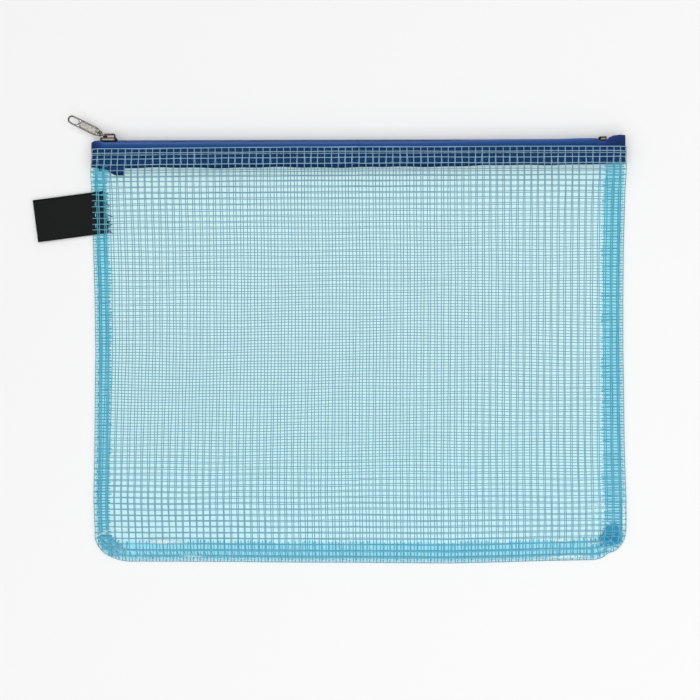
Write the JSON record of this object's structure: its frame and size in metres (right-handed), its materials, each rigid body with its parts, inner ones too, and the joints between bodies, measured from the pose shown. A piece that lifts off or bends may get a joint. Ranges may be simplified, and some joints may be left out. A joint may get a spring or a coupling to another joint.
{
  "type": "mesh zipper bag",
  "caption": "Flat zipper pouch of clear blue mesh film with a dark blue coil zipper, a metal slider and pull, and a bare folded side label, lying closed on its back.",
  "frame": {"origin": "middle of the back wall's outer face, on which the bag lies", "axes": "+X along the zipper towards its closed stop, +Y from the bottom fold to the zipper, +Z from the back wall to the front wall"},
  "size_m": [0.2778, 0.2105, 0.0102],
  "materials": {
    "mesh_film": "clear soft PVC film with a woven grid of thread inside",
    "seam_film": "the same film in two layers, turned in and sewn",
    "zipper_tape": "tight woven polyester",
    "coil_nylon": "satin monofilament",
    "slider_metal": "nickel plated die casting",
    "label_ribbon": "woven ribbon, bare",
    "sewing_thread": "twisted polyester thread"
  },
  "bodies": {
    "root": {"back_panel": "mesh_film", "left_seam": "seam_film", "right_seam": "seam_film", "bottom_seam": "seam_film", "back_tape": "zipper_tape", "back_coil": "coil_nylon", "back_top_stop": "slider_metal", "front_top_stop": "slider_metal", "bottom_stop": "slider_metal", "side_label": "label_ribbon", "back_hem_stitch": "sewing_thread", "left_seam_stitch": "sewing_thread", "right_seam_stitch": "sewing_thread", "bottom_seam_stitch": "sewing_thread"},
    "front_wall": {"front_panel": "mesh_film", "front_tape": "zipper_tape", "front_coil": "coil_nylon", "front_hem_stitch": "sewing_thread"},
    "slider": {"slider_body": "slider_metal"},
    "link": {"pull_link": "slider_metal"},
    "pull": {"pull_tab": "slider_metal"}
  },
  "joints": [
    {"name": "slider_travel", "type": "slide", "parent": "root", "child": "slider", "axis": [1, 0, 0], "range_m": [0, 0.226], "deforming": ["back_coil", "front_coil"]},
    {"name": "mouth_open", "type": "hinge", "parent": "root", "child": "front_wall", "pos_m": [0, -0.0994, 0.0021], "axis": [1, 0, 0], "range_deg": [0, 14], "deforming": ["front_tape"]},
    {"name": "link_swing", "type": "hinge", "parent": "slider", "child": "link", "pos_m": [-0.1187, 0.10105, 0.0051], "axis": [0, 0, 1], "range_deg": [-90, 18]},
    {"name": "pull_swing", "type": "hinge", "parent": "link", "child": "pull", "pos_m": [-0.12192, 0.10266, 0.0051], "axis": [0, 0, 1], "range_deg": [-58, 2]}
  ],
  "couplings": [
    {"joint": "mouth_open", "follows": "slider_travel", "rad_per_m": 1.08}
  ]
}
